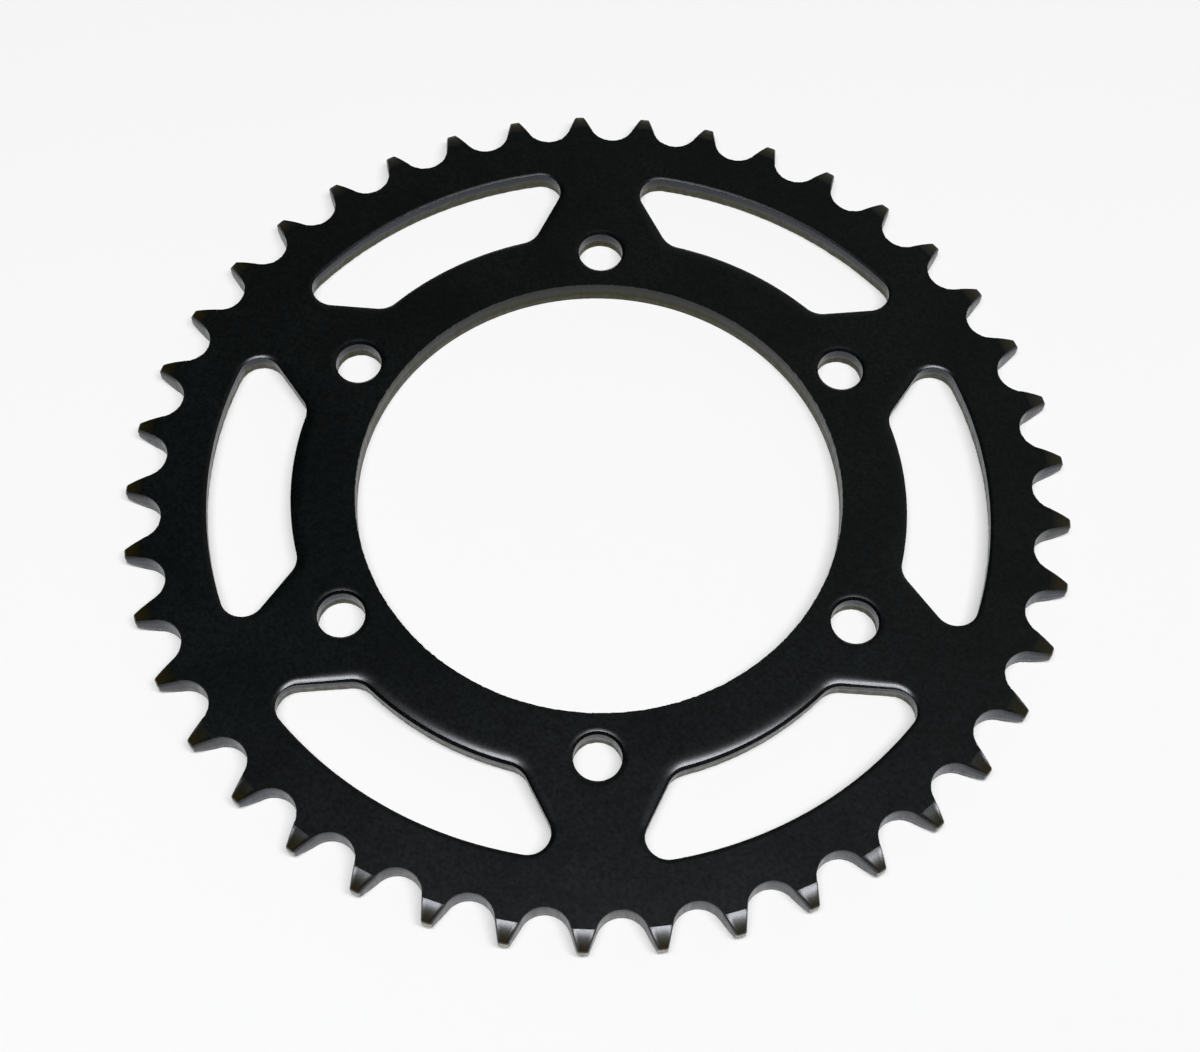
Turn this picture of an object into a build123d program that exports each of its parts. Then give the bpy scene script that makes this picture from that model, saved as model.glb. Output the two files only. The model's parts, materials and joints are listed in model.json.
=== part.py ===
from build123d import *
import math
import os

# Rear sprocket of a motorcycle: one punched steel plate that bolts flat to the rear hub.
# Millimetres. Z is the turning axis, z = 0 is the back face that sits on the hub, the punched
# front face is up, and +X runs through the bolt hole that has a tooth straight outside it.

# --- chain and teeth ---
TEETH = 41
CHAIN_PITCH = 15.875
ROLLER_D = 10.16
ROOT_CLEARANCE = 0.3
SEAT_R = 5.5
FLANK_LEAN = 18.4
TIP_D = 213.8
TIP_CORNER_R = 0.5
BEVEL_START_D = 205.0
BEVEL_DEPTH = 1.65
BEVEL_R = 16.0

# --- plate and hub fit ---
THICKNESS = 5.8
BORE_D = 110.0
BOLT_CIRCLE_D = 130.0
BOLT_COUNT = 6
BOLT_HOLE_D = 10.5
BOLT_EDGE_ROLL = 0.8

# --- lightening windows, one between each pair of bolt holes ---
WINDOW_OUTER_R = 88.4
WINDOW_INNER_R = 69.7
WINDOW_APEX_R = 53.2
WINDOW_SPREAD = 111.4
WINDOW_OUTER_CORNER_R = 4.9
WINDOW_INNER_CORNER_R = 5.5
WINDOW_TURN = 0.8
WINDOW_EDGE_ROLL = 1.0
BREAKOUT = 0.6
BREAKOUT_HEIGHT = 2.7

PITCH_R = CHAIN_PITCH / 2 / math.sin(math.pi / TEETH)
ROOT_R = PITCH_R - ROLLER_D / 2 - ROOT_CLEARANCE / 2
STEP = 360 / TEETH


def unit(degrees):
    return Vector(math.cos(math.radians(degrees)), math.sin(math.radians(degrees)), 0)


def tooth_edges(centre_angle):
    """One tooth pitch of the rim: half a roller seat, flank, tip, flank, half a roller seat."""
    half_seat = 90 - FLANK_LEAN - STEP / 2
    seat_centre = unit(STEP / 2) * (ROOT_R + SEAT_R)
    seat_bottom = unit(STEP / 2) * ROOT_R
    seat_mid = seat_centre + unit(STEP / 2 + 180 + half_seat / 2) * SEAT_R
    seat_end = seat_centre + unit(STEP / 2 + 180 + half_seat) * SEAT_R
    flank = unit(-FLANK_LEAN)
    inward = unit(-FLANK_LEAN - 90)

    # the small corner circle touches the flank and, from inside, the tip circle
    start = seat_end + inward * TIP_CORNER_R
    along = start.dot(flank)
    reach = (TIP_D / 2 - TIP_CORNER_R) ** 2 - start.dot(start)
    corner = start + flank * (math.sqrt(along ** 2 + reach) - along)
    flank_top = corner - inward * TIP_CORNER_R
    tip_end = corner.normalized() * (TIP_D / 2)
    corner_mid = corner + (flank_top + tip_end - corner * 2).normalized() * TIP_CORNER_R

    half = [
        ThreePointArc(seat_bottom, seat_mid, seat_end),
        Line(seat_end, flank_top),
        ThreePointArc(flank_top, corner_mid, tip_end),
    ]
    other_half = [edge.mirror(Plane.XZ) for edge in half]
    tip = ThreePointArc(tip_end, unit(0) * (TIP_D / 2), Vector(tip_end.X, -tip_end.Y, 0))
    return [Rot(0, 0, centre_angle) * edge for edge in half + other_half + [tip]]


def toothed_prism():
    edges = [edge for k in range(TEETH) for edge in tooth_edges(k * STEP)]
    return extrude(Face(Wire(edges)), amount=THICKNESS, dir=(0, 0, 1))


def bevelled_blank():
    """The round blank: flat faces, and a curved bevel on both sides of the rim."""
    crease_r = BEVEL_START_D / 2
    tip_r = TIP_D / 2
    chord = math.hypot(tip_r - crease_r, BEVEL_DEPTH)
    bulge = BEVEL_R - math.sqrt(BEVEL_R ** 2 - (chord / 2) ** 2)
    mid_r = (crease_r + tip_r) / 2 + bulge * BEVEL_DEPTH / chord
    mid_depth = BEVEL_DEPTH / 2 - bulge * (tip_r - crease_r) / chord
    section = [
        Line((0, 0, 0), (crease_r, 0, 0)),
        ThreePointArc((crease_r, 0, 0), (mid_r, 0, mid_depth), (tip_r, 0, BEVEL_DEPTH)),
        Line((tip_r, 0, BEVEL_DEPTH), (tip_r, 0, THICKNESS - BEVEL_DEPTH)),
        ThreePointArc(
            (tip_r, 0, THICKNESS - BEVEL_DEPTH),
            (mid_r, 0, THICKNESS - mid_depth),
            (crease_r, 0, THICKNESS),
        ),
        Line((crease_r, 0, THICKNESS), (0, 0, THICKNESS)),
        Line((0, 0, THICKNESS), (0, 0, 0)),
    ]
    return revolve(Face(Wire(section)), Axis.Z)


def window_outline(grow=0):
    """One window, centred on +Y: two arcs round the bore and two straight sides."""
    ring = Circle(WINDOW_OUTER_R + grow) - Circle(WINDOW_INNER_R - grow)
    half_spread = WINDOW_SPREAD / 2
    apex = Vector(0, WINDOW_APEX_R - grow / math.sin(math.radians(half_spread)), 0)
    left = apex + unit(90 + half_spread) * TIP_D
    right = apex + unit(90 - half_spread) * TIP_D
    outline = (ring & Polygon(apex, right, left, align=None)).face()
    outer_corners = outline.vertices().sort_by(Axis.Y)[2:]
    outline = fillet(outer_corners, WINDOW_OUTER_CORNER_R + grow)
    inner_corners = outline.vertices().sort_by(Axis.Y)[:2]
    outline = fillet(inner_corners, WINDOW_INNER_CORNER_R - grow)

    # each window sits a little askew, turned about its own middle
    middle = (0, (WINDOW_OUTER_R + WINDOW_INNER_R) / 2, 0)
    return Pos(middle) * Rot(0, 0, WINDOW_TURN) * Pos(middle).inverse() * outline.face()


def window_cutter():
    """The punched wall: straight below the front edge, breaking out wider towards the back."""
    straight = extrude(window_outline(), amount=THICKNESS, dir=(0, 0, 1))
    back = window_outline(BREAKOUT)
    return straight + loft([back, Pos(0, 0, BREAKOUT_HEIGHT) * window_outline()])


def upright_cylinder(diameter):
    return Cylinder(diameter / 2, THICKNESS, align=(Align.CENTER, Align.CENTER, Align.MIN))


def roll_front_edges(body, first, last, radius):
    """Round the front edges of some openings, counted from the shortest rim to the longest."""
    front = body.faces().filter_by(Axis.Z).sort_by(Axis.Z)[-1]
    rims = front.inner_wires().sort_by(SortBy.LENGTH)[first:last]
    return fillet([edge for rim in rims for edge in rim.edges()], radius)


plate = bevelled_blank() & toothed_prism()
plate -= upright_cylinder(BORE_D)
bolt_hole = Pos(BOLT_CIRCLE_D / 2, 0, 0) * upright_cylinder(BOLT_HOLE_D)
window = Rot(0, 0, 180 / BOLT_COUNT - 90) * window_cutter()
for k in range(BOLT_COUNT):
    turn = Rot(0, 0, k * 360 / BOLT_COUNT)
    plate -= turn * bolt_hole
    plate -= turn * window

plate = roll_front_edges(plate, 0, BOLT_COUNT, BOLT_EDGE_ROLL)
plate = roll_front_edges(plate, BOLT_COUNT, 2 * BOLT_COUNT, WINDOW_EDGE_ROLL)

os.makedirs("parts", exist_ok=True)
export_step(plate.solid(), "parts/sprocket_plate.step")
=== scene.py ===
import json
import math

import bmesh
import bpy
from mathutils import Matrix, Vector, noise
from mathutils.geometry import delaunay_2d_cdt


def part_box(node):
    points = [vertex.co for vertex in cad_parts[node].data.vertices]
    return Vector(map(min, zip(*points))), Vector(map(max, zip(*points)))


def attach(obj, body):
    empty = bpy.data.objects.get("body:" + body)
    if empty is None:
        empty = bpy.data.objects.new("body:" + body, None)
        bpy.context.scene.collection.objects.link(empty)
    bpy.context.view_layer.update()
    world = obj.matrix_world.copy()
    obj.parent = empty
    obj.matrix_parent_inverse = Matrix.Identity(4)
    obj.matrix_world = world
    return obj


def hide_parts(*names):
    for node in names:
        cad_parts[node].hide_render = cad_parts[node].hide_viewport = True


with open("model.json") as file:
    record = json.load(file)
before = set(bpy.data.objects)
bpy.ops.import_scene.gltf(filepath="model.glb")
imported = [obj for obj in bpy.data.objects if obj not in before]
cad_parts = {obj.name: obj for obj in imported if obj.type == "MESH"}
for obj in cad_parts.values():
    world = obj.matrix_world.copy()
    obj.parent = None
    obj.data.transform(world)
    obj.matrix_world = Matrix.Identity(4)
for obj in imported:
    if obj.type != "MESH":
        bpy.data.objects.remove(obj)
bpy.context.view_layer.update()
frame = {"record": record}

# Looks of a motorcycle's rear sprocket: one punched steel plate with a satin black coating.
# The plate and the camera are worked out in millimetres; materials, floor, lamp and backdrop are in
# metres. Angles are degrees. z = 0 is the back face, and the front is up.

MM = 0.001
NODE = "sprocket_plate"
SLOT = "black_paint"

node_low, node_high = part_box(NODE)
mount_dims = {mount["name"]: mount["dims"] for mount in frame["record"]["mounts"]}

# --- driving dimensions ---
TIP_R = node_high.x / MM
THICKNESS = (node_high.z - node_low.z) / MM
BORE_R = mount_dims["bore"]["r_mm"]
BOLT_CIRCLE_R = mount_dims["bolts"]["pcd_mm"] / 2
BOLT_COUNT = mount_dims["bolts"]["count"]
BOLT_HOLE_R = mount_dims["bolts"]["hole_r_mm"]
TEETH = 41
CHAIN_PITCH = 15.875
ROLLER_D = 10.16

# --- teeth ---
ROOT_CLEARANCE = 0.3
SEAT_R = 5.5
FLANK_LEAN = 18.4
TIP_CORNER_R = 0.5
BEVEL_WIDTH = 4.4
BEVEL_DEPTH = 1.65
BEVEL_R = 16.0
STEP = 360 / TEETH
PITCH_R = CHAIN_PITCH / 2 / math.sin(math.pi / TEETH)
ROOT_R = PITCH_R - ROLLER_D / 2 - ROOT_CLEARANCE / 2
CREASE_R = TIP_R - BEVEL_WIDTH

# --- windows ---
WINDOW_OUTER_R = 88.4
WINDOW_INNER_R = 69.7
WINDOW_APEX_R = 53.2
WINDOW_SPREAD = 111.4
WINDOW_OUTER_CORNER_R = 4.9
WINDOW_INNER_CORNER_R = 5.5
WINDOW_TURN = 0.8

# --- punched front edges ---
# The face is drawn down over a width until it leans by the tilt, and later where the power is higher.
# A shoulder that leans more steeply follows, and then a corner of a small radius.
SOFT_EDGE = {"width": 2.8, "tilt": 19.0, "power": 1.4, "shoulder": 0.65, "steep": 32.0, "radius": 0.15}
CRISP_EDGE = {"width": 0.6, "tilt": 23.5, "power": 0.12, "shoulder": 0.02, "steep": 31.0, "radius": 0.15}
BOLT_EDGE = {"width": 0.75, "tilt": 14.0, "power": 0.4, "shoulder": 0.5, "steep": 43.0, "radius": 0.25}
# The flat face's own edge is SUPPORT further out. A window's sides are this soft at their inner and
# outer ends, where 1 is SOFT_EDGE and 0 is CRISP_EDGE.
SUPPORT = 0.35
SIDE_SOFTNESS = (0.75, 0.35)

# --- punched walls ---
# A burnished band comes down to a height that wanders. From there the fracture spreads into the metal.
# Each pair of lumps is the size and the seed of a noise.
WINDOW_BREAK = {"spread": 0.55, "height": 3.1, "wander": 0.35}
BOLT_BREAK = {"spread": 0.13, "height": 2.4, "wander": 0.25}
BREAK_LUMPS = (2.6, 5.0)
BREAK_FINE_LUMPS = (0.9, 9.0)
BREAK_FINE_SHARE = 0.4
BURNISH_DROP = 0.15
BREAK_STEP = 0.03
BREAK_STEP_RISE = 0.1
FRACTURE_SHARES = (0.25, 0.5, 0.75, 0.95)
FRACTURE_ROUGH = 0.06
FRACTURE_LUMP = 1.1
FRACTURE_SEED = 20.0
FRACTURE_SEED_STEP = 3
BACK_BREAK = 0.12

# --- bore: its edges are (width, depth) ---
BORE_EDGE = (0.05, 0.08)
NICK_LUMPS = (0.9, 31.0)
NICK_LUMP_DEPTH = 1.2
NICK_FINE_LUMPS = (0.45, 37.0)
NICK_FINE_DEPTH = 0.9
NICK_MOST = 1.5
NICK_WIDTH = 0.1
BORE_MIDDLE = 4.1
BORE_FOOT = 2.7
BORE_FOOT_WANDER = 0.4
BORE_FOOT_LUMPS = (2.1, 41.0)
BORE_FOOT_FADE = 0.5

# --- rim: its front edges are (width, depth), with a middle at shares of both, torn between the teeth ---
FLANK_BREAK = (0.28, 0.34)
SEAT_BREAK = (0.05, 0.15)
BREAK_MIDDLE = (0.35, 0.4)
TEAR_LUMPS = (0.8, 51.0)
TEAR_BROAD_LUMPS = (3.0, 57.0)
TEAR_BROAD_SHARE = 0.3
TEAR_WIDTH = 0.12
TEAR_DEPTH = 0.4
RIM_WALL_SHARES = (0.66, 0.33)
BEVEL_TINT_POWER = 0.75

# --- steps along the outlines, and rows down the edges ---
SEAT_STEPS = 14
BEVEL_ROWS = 9
CORNER_STEPS = 3
TIP_STEPS = 4
INNER_ARC_STEPS = 60
INNER_CORNER_STEPS = 8
SIDE_STEPS = 26
OUTER_CORNER_STEPS = 14
OUTER_ARC_STEPS = 130
BORE_STEPS = 690
BOLT_HOLE_STEPS = 72
SAG_SHARES = (0.0, 0.3, 0.5, 0.65, 0.78, 0.9, 1.0)
CREASE_ROW = len(SAG_SHARES)
CORNER_ROWS = 5

# --- places along one tooth's outline, counted from the bottom of a seat ---
CREASE_AT = SEAT_STEPS + 1
FLANK_TOP_AT = CREASE_AT + BEVEL_ROWS
TOOTH_POINTS = 2 * (FLANK_TOP_AT + CORNER_STEPS) + TIP_STEPS

RAGGED_GAIN = 1.6


def unit(degrees):
    return Vector((math.cos(math.radians(degrees)), math.sin(math.radians(degrees))))


def between(low, high, share):
    return low + (high - low) * share


def ragged(point, size, seed):
    """A smooth random number from about -1 to 1 at a place, with lumps of the given size."""
    return noise.noise(Vector((point.x / size, point.y / size, seed))) * RAGGED_GAIN


# ---------------------------------------------------------------- outlines
# An outline is a list of (point, normal) pairs that runs anticlockwise. Normals point out of the metal.

def turned(outline, degrees):
    turn = Matrix.Rotation(math.radians(degrees), 2)
    return [(turn @ point, turn @ normal) for point, normal in outline]


def arc(centre, radius, start, end, steps, solid_inside):
    """Points from one angle to another round a centre, with the metal inside or outside the arc."""
    side = 1 if solid_inside else -1
    angles = [between(start, end, i / steps) for i in range(steps + 1)]
    return [(centre + unit(a) * radius, unit(a) * side) for a in angles]


def half_tooth():
    """From the bottom of the seat at +STEP / 2 to the corner of the tip, tooth along +X."""
    half_seat = 90 - FLANK_LEAN - STEP / 2
    seat_centre = unit(STEP / 2) * (ROOT_R + SEAT_R)
    start = STEP / 2 + 180
    points = arc(seat_centre, SEAT_R, start, start + half_seat, SEAT_STEPS, False)
    seat_end, outward = points[-1]
    flank = unit(-FLANK_LEAN)

    inner = seat_end - outward * TIP_CORNER_R
    along = inner.dot(flank)
    reach = (TIP_R - TIP_CORNER_R) ** 2 - inner.dot(inner)
    corner = inner + flank * (math.sqrt(along ** 2 + reach) - along)
    flank_top = corner + outward * TIP_CORNER_R

    rise = seat_end.dot(flank)
    crease = seat_end + flank * (math.sqrt(rise ** 2 + CREASE_R ** 2 - seat_end.dot(seat_end)) - rise)
    for i in range(BEVEL_ROWS + 1):
        points.append((crease.lerp(flank_top, i / BEVEL_ROWS), outward))
    tip_side = math.degrees(math.atan2(corner.y, corner.x))
    points += arc(corner, TIP_CORNER_R, 90 - FLANK_LEAN, tip_side, CORNER_STEPS, True)[1:]
    return points, tip_side


def tooth_rim():
    """The whole toothed outline, TOOTH_POINTS to a tooth, each from seat bottom to seat bottom."""
    side, tip_side = half_tooth()
    mirrored = [(Vector((p.x, -p.y)), Vector((n.x, -n.y))) for p, n in side]
    tip = arc(Vector((0, 0)), TIP_R, -tip_side, tip_side, TIP_STEPS, True)[1:-1]
    tooth = mirrored + tip + side[:0:-1]
    return [sample for k in range(TEETH) for sample in turned(tooth, k * STEP)]


def window_outline():
    """One window about +Y, from the left end of its inner arc, turned a little about its own middle."""
    half_spread = WINDOW_SPREAD / 2
    apex = Vector((0, WINDOW_APEX_R))
    side = unit(90 - half_spread)
    inward = unit(180 - half_spread)

    def corner(radius, centre_r):
        """Where a circle that touches the right side from inside the window has its centre."""
        start = apex + inward * radius
        along = start.dot(side)
        return start + side * (math.sqrt(along ** 2 + centre_r ** 2 - start.dot(start)) - along)

    outer = corner(WINDOW_OUTER_CORNER_R, WINDOW_OUTER_R - WINDOW_OUTER_CORNER_R)
    inner = corner(WINDOW_INNER_CORNER_R, WINDOW_INNER_R + WINDOW_INNER_CORNER_R)
    outer_angle = math.degrees(math.atan2(outer.y, outer.x))
    inner_angle = math.degrees(math.atan2(inner.y, inner.x))
    origin = Vector((0, 0))

    outer_corner = arc(outer, WINDOW_OUTER_CORNER_R, -half_spread, outer_angle, OUTER_CORNER_STEPS, False)
    inner_corner = arc(
        inner, WINDOW_INNER_CORNER_R, inner_angle - 180, -half_spread, INNER_CORNER_STEPS, False
    )
    outer_arc = arc(origin, WINDOW_OUTER_R, outer_angle, 180 - outer_angle, OUTER_ARC_STEPS, False)
    inner_arc = arc(origin, WINDOW_INNER_R, 180 - inner_angle, inner_angle, INNER_ARC_STEPS, True)
    side_start, side_end = inner_corner[-1], outer_corner[0]
    shares = [i / SIDE_STEPS for i in range(1, SIDE_STEPS)]
    side_line = [(side_start[0].lerp(side_end[0], share), side_start[1]) for share in shares]

    right = inner_corner[1:] + side_line + outer_corner
    left = [(Vector((-p.x, p.y)), Vector((-n.x, n.y))) for p, n in reversed(right)]
    outline = inner_arc + right + outer_arc[1:-1] + left

    middle = Vector((0, (WINDOW_OUTER_R + WINDOW_INNER_R) / 2))
    turn = Matrix.Rotation(math.radians(WINDOW_TURN), 2)
    return [(turn @ (p - middle) + middle, turn @ n) for p, n in outline]


def window_softness():
    """How soft the edge is at each point of window_outline: wholly on the inner arc, less and less
    along the sides, and not at all from half way round the outer corners."""
    side_first, side_last = SIDE_SOFTNESS
    right = [between(1, side_first, (i + 1) / INNER_CORNER_STEPS) for i in range(INNER_CORNER_STEPS)]
    right += [between(side_first, side_last, i / SIDE_STEPS) for i in range(1, SIDE_STEPS)]
    right += [side_last * max(0, 1 - 2 * i / OUTER_CORNER_STEPS) for i in range(OUTER_CORNER_STEPS + 1)]
    inner_arc = [1.0] * (INNER_ARC_STEPS + 1)
    outer_arc = [0.0] * (OUTER_ARC_STEPS - 1)
    return inner_arc + right + outer_arc + right[::-1]


# ---------------------------------------------------------------- sections through the edges
# A section is a list of (offset into the metal, height, finish), from the front face to the back.
# A finish is (wall, fracture, tip sheen, bevel), each from 0 to 1. The tip sheen is a painted reflection
# of the bright floor, a pale colour on the tip lands. Points of the flat faces keep PAINTED, because their
# finish spreads over the whole triangle.

FINISH_NAMES = ("wall", "fracture", "tip_sheen", "bevel")
PAINTED = (0.0, 0.0, 0.0, 0.0)
BURNISHED = (1.0, 0.0, 0.0, 0.0)
FRACTURED = (1.0, 1.0, 0.0, 0.0)
TURNED = (1.0, 0.35, 0.0, 0.0)
# the tip lands: their pale colour is a painted reflection of the bright floor
TIP_SHEEN = (1.0, 0.0, 1.0, 0.0)
HALF_OLIVE = (0.0, 0.0, 0.0, 0.5)


def front_edge(width, tilt, power, shoulder, steep, radius):
    """The face drawn down towards a punched edge, a steeper shoulder, then a small corner."""
    lean = math.radians(steep)
    crease = radius * (1 - math.sin(lean)) + shoulder
    sag = width * math.tan(math.radians(tilt)) / (power + 1)
    rows = [(crease + width + SUPPORT, THICKNESS, PAINTED)]
    for share in SAG_SHARES:
        drop = sag * share ** (power + 1)
        rows.append((crease + width * (1 - share), THICKNESS - drop, PAINTED))
    for i in range(CORNER_ROWS + 1):
        a = between(lean, math.pi / 2, i / CORNER_ROWS)
        drop = sag + shoulder * math.tan(lean) + radius * (math.cos(lean) - math.cos(a))
        rows.append((radius * (1 - math.sin(a)), THICKNESS - drop, PAINTED))
    return rows


def punched_wall(point, top, spread, height, wander):
    """A burnished band down from the front edge, a small step, then a rough fracture."""
    fine = BREAK_FINE_SHARE * ragged(point, *BREAK_FINE_LUMPS)
    foot = height + wander * (ragged(point, *BREAK_LUMPS) + fine)
    rows = [
        (0.0, top - BURNISH_DROP, BURNISHED),
        (0.0, (top + foot) / 2, BURNISHED),
        (0.0, foot + BREAK_STEP_RISE, BURNISHED),
        (BREAK_STEP, foot, FRACTURED),
    ]
    for share in FRACTURE_SHARES:
        rough = FRACTURE_ROUGH * ragged(point, FRACTURE_LUMP, FRACTURE_SEED + FRACTURE_SEED_STEP * share)
        offset = between(BREAK_STEP, spread, share) + rough
        rows.append((offset, foot * (1 - share), FRACTURED))
    rows.append((rows[-1][0] + BACK_BREAK, 0.0, PAINTED))
    return rows


def punched_section(point, edge, breaking):
    rows = front_edge(**edge)
    return rows + punched_wall(point, rows[-1][1], **breaking)


def bored_section(point):
    """A turned wall with nicks in its front edge all the way round, rougher in its lower half."""
    width, depth = BORE_EDGE
    nick = NICK_LUMP_DEPTH * max(0.0, ragged(point, *NICK_LUMPS))
    nick = min(nick + NICK_FINE_DEPTH * abs(ragged(point, *NICK_FINE_LUMPS)), NICK_MOST)
    foot = BORE_FOOT + BORE_FOOT_WANDER * ragged(point, *BORE_FOOT_LUMPS)
    return [
        (width + NICK_WIDTH * nick, THICKNESS, PAINTED),
        (0.0, THICKNESS - depth - nick, TURNED),
        (0.0, BORE_MIDDLE, TURNED),
        (0.0, foot + BORE_FOOT_FADE, TURNED),
        (0.0, foot - BORE_FOOT_FADE, FRACTURED),
        (0.0, BACK_BREAK, FRACTURED),
        (BACK_BREAK, 0.0, PAINTED),
    ]


# ---------------------------------------------------------------- the skin of the plate

TRIANGLES_INSIDE = 1
MERGE_DISTANCE = 1e-6


def bevel_depth(radius):
    """How far the rim's face has dropped at a radius: an arc from the crease to the tip."""
    if radius <= CREASE_R:
        return 0.0
    run = TIP_R - CREASE_R
    chord = math.hypot(run, BEVEL_DEPTH)
    first_slope = math.atan2(BEVEL_DEPTH, run) - math.asin(chord / 2 / BEVEL_R)
    centre_r = CREASE_R - BEVEL_R * math.sin(first_slope)
    return BEVEL_R * math.cos(first_slope) - math.sqrt(BEVEL_R ** 2 - (radius - centre_r) ** 2)


class Skin:
    """Rows of points and the faces between them, which together close the plate."""

    def __init__(self):
        self.points = []
        self.faces = []
        self.sharp = []
        self.finish = []

    def point(self, x, y, z, finish=PAINTED):
        self.points.append((x, y, z))
        self.finish.append(finish)
        return len(self.points) - 1

    def around(self, outline, sections):
        """One closed row for each step of the sections, joined into bands."""
        rows = []
        for steps in zip(*sections):
            row = []
            for (place, normal), (offset, z, finish) in zip(outline, steps):
                x, y = place - normal * offset
                row.append(self.point(x, y, z, finish))
            rows.append(row)
        for upper, lower in zip(rows, rows[1:]):
            for i in range(len(upper)):
                j = (i + 1) % len(upper)
                self.faces.append((upper[i], upper[j], lower[j], lower[i]))
        return rows

    def ring_sharp(self, row):
        self.sharp += zip(row, row[1:] + row[:1])

    def flat(self, loops):
        """Fills the flat face inside the first loop and outside the others."""
        at = [i for loop in loops for i in loop]
        first = 0
        areas = []
        for loop in loops:
            areas.append(list(range(first, first + len(loop))))
            first += len(loop)
        flat_points = [Vector(self.points[i][:2]) for i in at]
        made = delaunay_2d_cdt(flat_points, [], areas, TRIANGLES_INSIDE, MERGE_DISTANCE)
        _, _, triangles, sources, _, areas_held = made
        for triangle, inside in zip(triangles, areas_held):
            if inside == [0]:
                self.faces.append(tuple(at[sources[corner][0]] for corner in triangle))


def rim_section(index, point):
    """The wall of the toothed rim under one point of its outline."""
    drop = bevel_depth(point.length)
    front, back = THICKNESS - drop, drop
    in_tooth = index % TOOTH_POINTS
    on_tooth = CREASE_AT <= in_tooth <= TOOTH_POINTS - CREASE_AT
    on_tip = FLANK_TOP_AT < in_tooth < TOOTH_POINTS - FLANK_TOP_AT
    width, depth = FLANK_BREAK if on_tooth else SEAT_BREAK
    if not on_tooth:
        torn = abs(ragged(point, *TEAR_LUMPS)) + TEAR_BROAD_SHARE * abs(ragged(point, *TEAR_BROAD_LUMPS))
        width, depth = width + TEAR_WIDTH * torn, depth + TEAR_DEPTH * torn
    wall_low, wall_high = back + BACK_BREAK, front - depth
    # tip lands take the pale colour of a painted reflection of the floor
    wall = TIP_SHEEN if on_tip else BURNISHED
    middle_in, middle_down = BREAK_MIDDLE
    rows = [
        (width, THICKNESS - bevel_depth(point.length - width), PAINTED),
        (middle_in * width, front - middle_down * depth, HALF_OLIVE),
        (0.0, wall_high, wall),
    ]
    rows += [(0.0, between(wall_low, wall_high, share), wall) for share in RIM_WALL_SHARES]
    return rows + [(0.0, wall_low, wall), (BACK_BREAK, back, PAINTED)]


def rim(skin):
    """The toothed rim, and the loops round the flat front and back inside its bevels."""
    outline = tooth_rim()
    rows = skin.around(outline, [rim_section(i, point) for i, (point, _) in enumerate(outline)])
    front, back = rows[0], rows[-1]
    for row, flat_z in ((front, THICKNESS), (back, 0.0)):
        skin.ring_sharp(row)
        for k in range(TEETH):
            for i in (CREASE_AT, TOOTH_POINTS - CREASE_AT):
                at = row[k * TOOTH_POINTS + i]
                x, y, _ = skin.points[at]
                scale = CREASE_R / math.hypot(x, y)
                skin.points[at] = (x * scale, y * scale, flat_z)
    front_loop = bevels(skin, front, lambda radius: THICKNESS - bevel_depth(radius))
    return front_loop, bevels(skin, back, bevel_depth)


def bevels(skin, rim_row, surface):
    """Every tooth's bevel inside a row of the rim; gives back the loop round the flat face."""
    loop = []
    for k in range(TEETH):
        tooth = rim_row[k * TOOTH_POINTS:(k + 1) * TOOTH_POINTS]
        chain = tooth[FLANK_TOP_AT:TOOTH_POINTS - FLANK_TOP_AT + 1]
        across = len(chain) - 1
        rows = []
        for j in range(BEVEL_ROWS + 1):
            right, left = tooth[CREASE_AT + j], tooth[TOOTH_POINTS - CREASE_AT - j]
            tint = (j / BEVEL_ROWS) ** BEVEL_TINT_POWER
            rows.append([right] + bevel_row(skin, right, left, across, surface, tint) + [left])
        rows.append(chain)
        for lower, upper in zip(rows, rows[1:]):
            for m in range(across):
                corners = (lower[m], lower[m + 1], upper[m + 1], upper[m])
                skin.faces.append(tuple(dict.fromkeys(corners)))
        skin.sharp += zip(rows[0], rows[0][1:])
        loop += tooth[:CREASE_AT] + rows[0] + tooth[TOOTH_POINTS - CREASE_AT + 1:]
    return loop


def bevel_row(skin, right, left, across, surface, tint):
    """Points between two flank points, all on the same radius, with some of the bevel's olive."""
    a, b = Vector(skin.points[right][:2]), Vector(skin.points[left][:2])
    radius = (a.length + b.length) / 2
    row = []
    for m in range(1, across):
        place = a.lerp(b, m / across).normalized() * radius
        row.append(skin.point(place.x, place.y, surface(radius), (0.0, 0.0, 0.0, tint)))
    return row


def bore(skin):
    outline = arc(Vector((0, 0)), BORE_R, 0, 360, BORE_STEPS, False)[:-1]
    rows = skin.around(outline, [bored_section(point) for point, _ in outline])
    skin.ring_sharp(rows[0])
    skin.ring_sharp(rows[-1])
    return rows[0], rows[-1]


def bolt_hole(skin, turn):
    circle = arc(Vector((BOLT_CIRCLE_R, 0)), BOLT_HOLE_R, 0, 360, BOLT_HOLE_STEPS, False)[:-1]
    outline = turned(circle, turn)
    rows = skin.around(outline, [punched_section(point, BOLT_EDGE, BOLT_BREAK) for point, _ in outline])
    skin.ring_sharp(rows[CREASE_ROW])
    skin.ring_sharp(rows[-1])
    return rows[0], rows[-1]


def window(skin, turn):
    to_between_bolts = 180 / BOLT_COUNT - 90
    outline = turned(window_outline(), to_between_bolts + turn)
    sections = []
    for (point, _), soft in zip(outline, window_softness()):
        edge = {name: between(CRISP_EDGE[name], SOFT_EDGE[name], soft) for name in SOFT_EDGE}
        sections.append(punched_section(point, edge, WINDOW_BREAK))
    rows = skin.around(outline, sections)
    skin.ring_sharp(rows[CREASE_ROW])
    skin.ring_sharp(rows[-1])
    return rows[0], rows[-1]


def plate_skin():
    skin = Skin()
    loops = [rim(skin), bore(skin)]
    for k in range(BOLT_COUNT):
        turn = k * 360 / BOLT_COUNT
        loops += [bolt_hole(skin, turn), window(skin, turn)]
    skin.flat([front for front, _ in loops])
    skin.flat([back for _, back in loops])
    return skin


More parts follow.
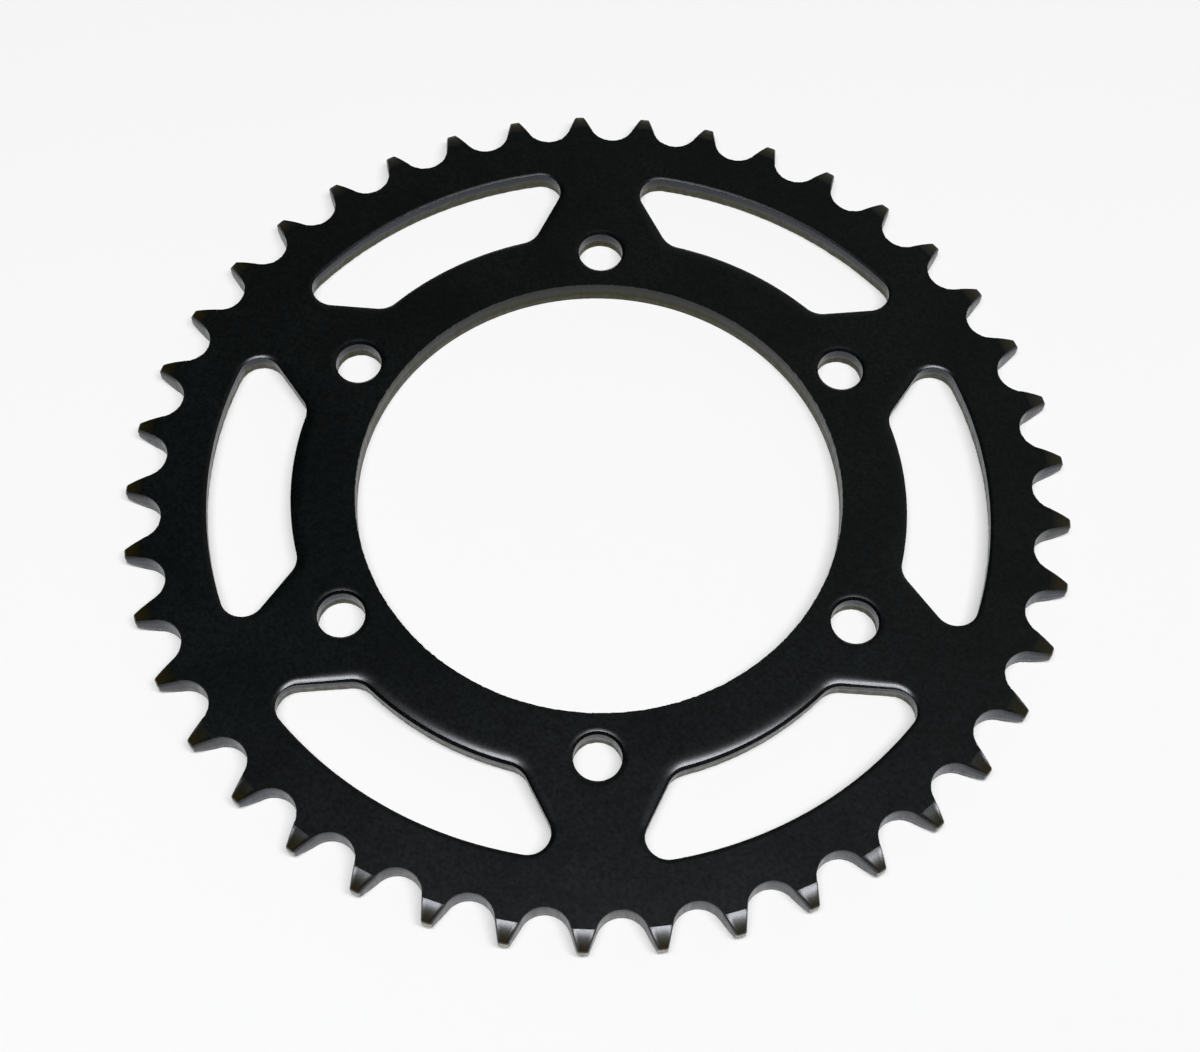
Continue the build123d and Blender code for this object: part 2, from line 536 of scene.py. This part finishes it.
def plate_object(material):
    skin = plate_skin()
    mesh = bpy.data.meshes.new("sprocket")
    mesh.from_pydata([Vector(point) * MM for point in skin.points], [], skin.faces)
    mesh.polygons.foreach_set("use_smooth", [True] * len(mesh.polygons))
    wanted = {frozenset(edge) for edge in skin.sharp}
    sharp = mesh.attributes.new("sharp_edge", "BOOLEAN", "EDGE")
    sharp.data.foreach_set("value", [frozenset(edge.vertices) in wanted for edge in mesh.edges])
    for name, values in zip(FINISH_NAMES, zip(*skin.finish)):
        mesh.attributes.new(name, "FLOAT", "POINT").data.foreach_set("value", values)
    face_outwards(mesh)
    mesh.materials.append(material)
    plate = bpy.data.objects.new("sprocket", mesh)
    bpy.context.scene.collection.objects.link(plate)
    return plate


def face_outwards(mesh):
    """Turns every face's winding so that the closed skin faces outwards."""
    body = bmesh.new()
    body.from_mesh(mesh)
    bmesh.ops.recalc_face_normals(body, faces=body.faces)
    if body.calc_volume(signed=True) < 0:
        bmesh.ops.reverse_faces(body, faces=body.faces)
    body.to_mesh(mesh)
    body.free()


# ---------------------------------------------------------------- materials, in metres

WHITE = (1, 1, 1, 1)
BLACK = (0, 0, 0, 1)
FACE_BLACK = (0.0003, 0.0012, 0.0009, 1)
FACE_BLACK_PALE = (0.0034, 0.0052, 0.0044, 1)
BEVEL_OLIVE = (0.0165, 0.0132, 0.0028, 1)
WALL_LAVENDER = (0.0440, 0.0480, 0.0640, 1)
WALL_GREY = (0.0500, 0.0500, 0.0520, 1)
FRACTURE_OLIVE = (0.0430, 0.0412, 0.0090, 1)
# pale yellowish grey of the tip lands, a painted reflection of the bright floor
TIP_SHEEN_GREY = (0.3000, 0.2900, 0.2200, 1)

# each noise: its lumps per metre, its detail, and its values that become 0 and 1
STREAKS = (900.0, 3.0, 0.3, 0.7)
GRAIN = (1300.0, 2.0, 0.3, 0.7)
MOTTLING = (45.0, 3.0, 0.35, 0.65)
STREAK_SQUEEZE = (1.0, 1.0, 0.09)

COATING_IOR = 1.5
MOTTLE_LEAST = 0.5
FRACTURE_LEAST = 0.6
ROUGHNESS = (0.25, 0.27)
GRAIN_ROUGHNESS = 0.015
WALL_ROUGHNESS = (-0.03, 0.09)
FRACTURE_ROUGHNESS = 0.15
BEVEL_ROUGHNESS = -0.01
GRAIN_BUMP = {"Strength": 0.2, "Distance": 0.000005}
STREAK_BUMP = 0.00002
STREAK_BUMP_STRENGTH = 0.7

# a colour Mix node repeats its sockets' names, so they go by number
MIX_SHARE, MIX_FIRST, MIX_SECOND, MIX_RESULT = 0, 6, 7, 2


def add(tree, kind, **settings):
    """A node, with each setting given to the socket of that name, or else to the node itself."""
    made = tree.nodes.new(kind)
    for name, value in settings.items():
        if name in made.inputs:
            made.inputs[name].default_value = value
        else:
            setattr(made, name, value)
    return made


def mixed(tree, share, first, second):
    """A colour between two, each a colour or a socket."""
    mix = add(tree, "ShaderNodeMix", data_type="RGBA")
    tree.links.new(share, mix.inputs[MIX_SHARE])
    for slot, colour in ((MIX_FIRST, first), (MIX_SECOND, second)):
        if isinstance(colour, tuple):
            mix.inputs[slot].default_value = colour
        else:
            tree.links.new(colour, mix.inputs[slot])
    return mix.outputs[MIX_RESULT]


def ranged(tree, value, low, high, start=0.0, end=1.0):
    """A value from start to end spread over low to high, and held there beyond them."""
    spread = add(tree, "ShaderNodeMapRange")
    for name, number in (("From Min", start), ("From Max", end), ("To Min", low), ("To Max", high)):
        spread.inputs[name].default_value = number
    tree.links.new(value, spread.inputs["Value"])
    return spread.outputs[0]


def noise_at(tree, vector, scale, detail, low, high):
    """Noise from 0, wherever it is under low, to 1, wherever it is over high."""
    made = add(tree, "ShaderNodeTexNoise", Scale=scale, Detail=detail)
    tree.links.new(vector, made.inputs["Vector"])
    return ranged(tree, made.outputs["Fac"], 0.0, 1.0, low, high)


def combined(tree, operation, *values):
    """One number from a few, each a number or a socket."""
    made = add(tree, "ShaderNodeMath", operation=operation)
    for slot, value in enumerate(values):
        if isinstance(value, float):
            made.inputs[slot].default_value = value
        else:
            tree.links.new(value, made.inputs[slot])
    return made.outputs[0]


def black_paint():
    """Satin black, mottled and grainy; dark metal on the walls, which are streaked and rough at the foot."""
    material = bpy.data.materials.new(SLOT)
    material.use_nodes = True
    tree = material.node_tree
    shader = tree.nodes["Principled BSDF"]
    shader.inputs["IOR"].default_value = COATING_IOR
    place = tree.nodes.new("ShaderNodeTexCoord").outputs["Object"]
    readers = [add(tree, "ShaderNodeAttribute", attribute_name=name) for name in FINISH_NAMES]
    wall, fracture, tip_sheen, bevel = [reader.outputs["Fac"] for reader in readers]

    # coordinates squeezed along z draw this noise out into upright streaks on the walls
    squeeze = add(tree, "ShaderNodeMapping", Scale=STREAK_SQUEEZE)
    tree.links.new(place, squeeze.inputs["Vector"])
    streaks = noise_at(tree, squeeze.outputs[0], *STREAKS)
    grain = noise_at(tree, place, *GRAIN)
    broad = noise_at(tree, place, *MOTTLING)

    mottle = combined(tree, "MULTIPLY", ranged(tree, broad, MOTTLE_LEAST, 1.0), grain)
    face = mixed(tree, mottle, FACE_BLACK, FACE_BLACK_PALE)
    face = mixed(tree, bevel, face, BEVEL_OLIVE)
    walls = mixed(tree, broad, WALL_LAVENDER, WALL_GREY)
    olive = combined(tree, "MULTIPLY", fracture, ranged(tree, streaks, FRACTURE_LEAST, 1.0))
    walls = mixed(tree, olive, walls, FRACTURE_OLIVE)
    # tip lands: a pale painted reflection of the floor, and not metallic
    walls = mixed(tree, tip_sheen, walls, TIP_SHEEN_GREY)
    tree.links.new(mixed(tree, wall, face, walls), shader.inputs["Base Color"])
    tree.links.new(combined(tree, "SUBTRACT", wall, tip_sheen), shader.inputs["Metallic"])

    grain_rough = ranged(tree, grain, -GRAIN_ROUGHNESS, GRAIN_ROUGHNESS)
    rough = combined(tree, "ADD", ranged(tree, broad, *ROUGHNESS), grain_rough)
    wall_rough = combined(tree, "MULTIPLY", wall, ranged(tree, streaks, *WALL_ROUGHNESS))
    rough = combined(tree, "ADD", rough, wall_rough)
    rough = combined(tree, "ADD", rough, combined(tree, "MULTIPLY", fracture, FRACTURE_ROUGHNESS))
    rough = combined(tree, "ADD", rough, combined(tree, "MULTIPLY", bevel, BEVEL_ROUGHNESS))
    tree.links.new(rough, shader.inputs["Roughness"])

    fine = add(tree, "ShaderNodeBump", **GRAIN_BUMP)
    tree.links.new(grain, fine.inputs["Height"])
    coarse = add(tree, "ShaderNodeBump", Distance=STREAK_BUMP)
    tree.links.new(ranged(tree, wall, 0.0, STREAK_BUMP_STRENGTH), coarse.inputs["Strength"])
    tree.links.new(streaks, coarse.inputs["Height"])
    tree.links.new(fine.outputs["Normal"], coarse.inputs["Normal"])
    tree.links.new(coarse.outputs["Normal"], shader.inputs["Normal"])
    return material


# ---------------------------------------------------------------- studio, in metres

FLOOR_SIZE = 12.0
FLOOR_GAP = 0.00002
FLOOR_ALBEDO = (0.631, 0.619, 0.573, 1)
FLOOR_ROUGHNESS = 0.9
FLOOR_SPECULAR = 0.1
FLOOR_BASE_GLOW = 0.26
FLOOR_LIT_R = 0.1
FLOOR_DIM_R = 1.52
FLOOR_GLOW = 0.58
STRIP_TOWARDS = 0.249
STRIP_RIGHT = 0.136
STRIP_HEIGHT = 1.0
STRIP_DEPTH = 0.156
STRIP_WIDTH = 0.932
STRIP_RADIANCE = 28.25
STRIP_COLOUR = (0.93, 0.95, 1.03)
ROOM_BRIGHT_SIDE = 78.0
ROOM_SLOPE = 0.25
ROOM_LEAST = 0.005
ROOM_OFFSET = -0.03
BACKDROP_R = 8.0
BACKDROP_SEGMENTS = 64
BACKDROP_RINGS = 32
BACKDROP_GREY = 0.88

# the camera, in millimetres and degrees
VIEW_AIM = Vector((3.718, -5.818, 0.0))
VIEW_DISTANCE = 467.24
VIEW_AZIMUTH = -61.792
VIEW_ELEVATION = 62.236
VIEW_ROLL = 2.351
SENSOR = 36.0
LENS = 61.729
NEAREST_SEEN = 10.0


def floor_paper():
    """White paper that glows a little. For the camera alone it glows more away from the lamp's foot, so
    that it stays as pale there."""
    material = bpy.data.materials.new("floor_paper")
    material.use_nodes = True
    tree = material.node_tree
    shader = tree.nodes["Principled BSDF"]
    shader.inputs["Base Color"].default_value = FLOOR_ALBEDO
    shader.inputs["Roughness"].default_value = FLOOR_ROUGHNESS
    shader.inputs["Specular IOR Level"].default_value = FLOOR_SPECULAR
    shader.inputs["Emission Color"].default_value = WHITE
    place = tree.nodes.new("ShaderNodeTexCoord").outputs["Object"]
    away = add(tree, "ShaderNodeVectorMath", operation="DISTANCE")
    tree.links.new(place, away.inputs[0])
    away.inputs[1].default_value = (strip_foot().x, strip_foot().y, 0)
    glow = ranged(tree, away.outputs["Value"], 0.0, FLOOR_GLOW, FLOOR_LIT_R, FLOOR_DIM_R)
    seen = tree.nodes.new("ShaderNodeLightPath").outputs["Is Camera Ray"]
    glow = combined(tree, "MULTIPLY_ADD", glow, seen, FLOOR_BASE_GLOW)
    tree.links.new(glow, shader.inputs["Emission Strength"])
    return material


def backdrop():
    """A pale dome that only the camera sees, so that it doesn't shine on the plate."""
    material = bpy.data.materials.new("backdrop_paper")
    material.use_nodes = True
    shader = material.node_tree.nodes["Principled BSDF"]
    shader.inputs["Base Color"].default_value = BLACK
    shader.inputs["Specular IOR Level"].default_value = 0.0
    shader.inputs["Emission Color"].default_value = WHITE
    shader.inputs["Emission Strength"].default_value = BACKDROP_GREY
    mesh = bpy.data.meshes.new("backdrop")
    ball = bmesh.new()
    bmesh.ops.create_uvsphere(
        ball, u_segments=BACKDROP_SEGMENTS, v_segments=BACKDROP_RINGS, radius=BACKDROP_R
    )
    ball.to_mesh(mesh)
    ball.free()
    mesh.materials.append(material)
    made = bpy.data.objects.new("backdrop", mesh)
    made.visible_diffuse = False
    made.visible_glossy = False
    made.visible_transmission = False
    made.visible_shadow = False
    bpy.context.scene.collection.objects.link(made)


def strip_foot():
    """The place on the floor under the lamp, which is set out from the camera's side of the plate."""
    return unit(VIEW_AZIMUTH) * STRIP_TOWARDS + unit(VIEW_AZIMUTH + 90) * STRIP_RIGHT


def floor():
    mesh = bpy.data.meshes.new("floor")
    half = FLOOR_SIZE / 2
    corners = [(-half, -half, 0), (half, -half, 0), (half, half, 0), (-half, half, 0)]
    mesh.from_pydata(corners, [], [(0, 1, 2, 3)])
    mesh.materials.append(floor_paper())
    made = bpy.data.objects.new("floor", mesh)
    made.location.z = -FLOOR_GAP
    bpy.context.scene.collection.objects.link(made)


def strip_light():
    """One long soft light above, nearer to the camera, lying across the view."""
    lamp = bpy.data.lights.new("strip", "AREA")
    lamp.shape = "RECTANGLE"
    lamp.size = STRIP_DEPTH
    lamp.size_y = STRIP_WIDTH
    lamp.color = STRIP_COLOUR
    lamp.energy = STRIP_RADIANCE * math.pi * STRIP_DEPTH * STRIP_WIDTH
    strip = bpy.data.objects.new("strip", lamp)
    strip.location = (strip_foot().x, strip_foot().y, STRIP_HEIGHT)
    strip.rotation_euler = (0, 0, math.radians(VIEW_AZIMUTH))
    bpy.context.scene.collection.objects.link(strip)


def room():
    """A dim room, a little brighter on the far right and dark behind the camera."""
    world = bpy.data.worlds.new("room")
    world.use_nodes = True
    tree = world.node_tree
    side = unit(ROOM_BRIGHT_SIDE)
    facing = add(tree, "ShaderNodeVectorMath", operation="DOT_PRODUCT")
    tree.links.new(tree.nodes.new("ShaderNodeTexCoord").outputs["Generated"], facing.inputs[0])
    facing.inputs[1].default_value = (side.x, side.y, 0)
    bright = combined(tree, "MULTIPLY_ADD", facing.outputs["Value"], ROOM_SLOPE, ROOM_OFFSET)
    bright = combined(tree, "MAXIMUM", bright, ROOM_LEAST)
    background = tree.nodes["Background"]
    background.inputs["Color"].default_value = WHITE
    tree.links.new(bright, background.inputs["Strength"])
    bpy.context.scene.world = world


def camera():
    lens = bpy.data.cameras.new("camera")
    lens.sensor_width = SENSOR
    lens.lens = LENS
    lens.clip_start = NEAREST_SEEN * MM
    made = bpy.data.objects.new("camera", lens)
    elevation = math.radians(VIEW_ELEVATION)
    level = unit(VIEW_AZIMUTH) * math.cos(elevation)
    back = Vector((level.x, level.y, math.sin(elevation)))
    made.location = (VIEW_AIM + back * VIEW_DISTANCE) * MM
    look = (-back).to_track_quat("-Z", "Y").to_matrix()
    made.rotation_euler = (look @ Matrix.Rotation(math.radians(VIEW_ROLL), 3, "Z")).to_euler()
    bpy.context.scene.collection.objects.link(made)
    bpy.context.scene.camera = made


plate = plate_object(black_paint())
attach(plate, "root")
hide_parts(NODE)
floor()
backdrop()
strip_light()
room()
camera()
bpy.context.scene.view_settings.view_transform = "Standard"
